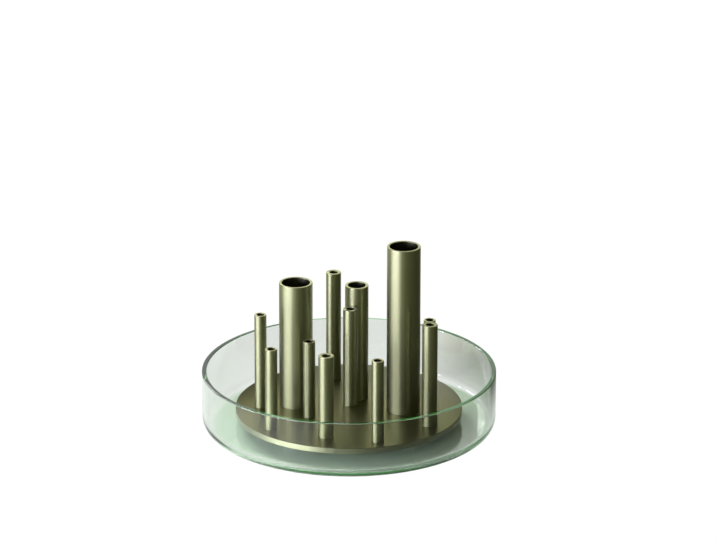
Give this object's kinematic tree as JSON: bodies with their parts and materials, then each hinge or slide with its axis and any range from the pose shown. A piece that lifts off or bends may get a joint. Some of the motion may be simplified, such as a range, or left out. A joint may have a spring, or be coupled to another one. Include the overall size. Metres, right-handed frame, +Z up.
{
  "type": "low vase",
  "caption": "Shallow round glass bowl with a lift-out metal insert: a disc on soft feet that carries upright open tubes of several widths and heights, each for a flower stem.",
  "frame": {"origin": "middle of the bowl's underside, on the surface that the vase stands on", "axes": "+Z up, along the tubes; the front of the vase, with the short tubes, faces -Y; +X is to the right seen from the front"},
  "size_m": [0.25, 0.25, 0.164],
  "materials": {
    "clear_green_glass": "clear, polished",
    "plate_aluminium": "satin anodised, olive",
    "tube_aluminium": "satin anodised, olive",
    "foot_silicone": "translucent, matt"
  },
  "bodies": {
    "bowl": {"glass_bowl": "clear_green_glass"},
    "insert": {"base_plate": "plate_aluminium", "wide_tube_right": "tube_aluminium", "wide_tube_left": "tube_aluminium", "medium_tube": "tube_aluminium", "narrow_tube_centre": "tube_aluminium", "narrow_tube_back": "tube_aluminium", "narrow_tube_front": "tube_aluminium", "narrow_tube_right": "tube_aluminium", "thin_tube_far_left": "tube_aluminium", "thin_tube_left": "tube_aluminium", "thin_tube_mid": "tube_aluminium", "thin_tube_front": "tube_aluminium", "thin_tube_right": "tube_aluminium", "foot_back_right": "foot_silicone", "foot_back_left": "foot_silicone", "foot_front_left": "foot_silicone", "foot_front_right": "foot_silicone"}
  },
  "joints": [
    {"name": "insert_lift", "type": "slide", "parent": "bowl", "child": "insert", "axis": [0, 0, 1], "range_m": [0, 0.06]}
  ]
}
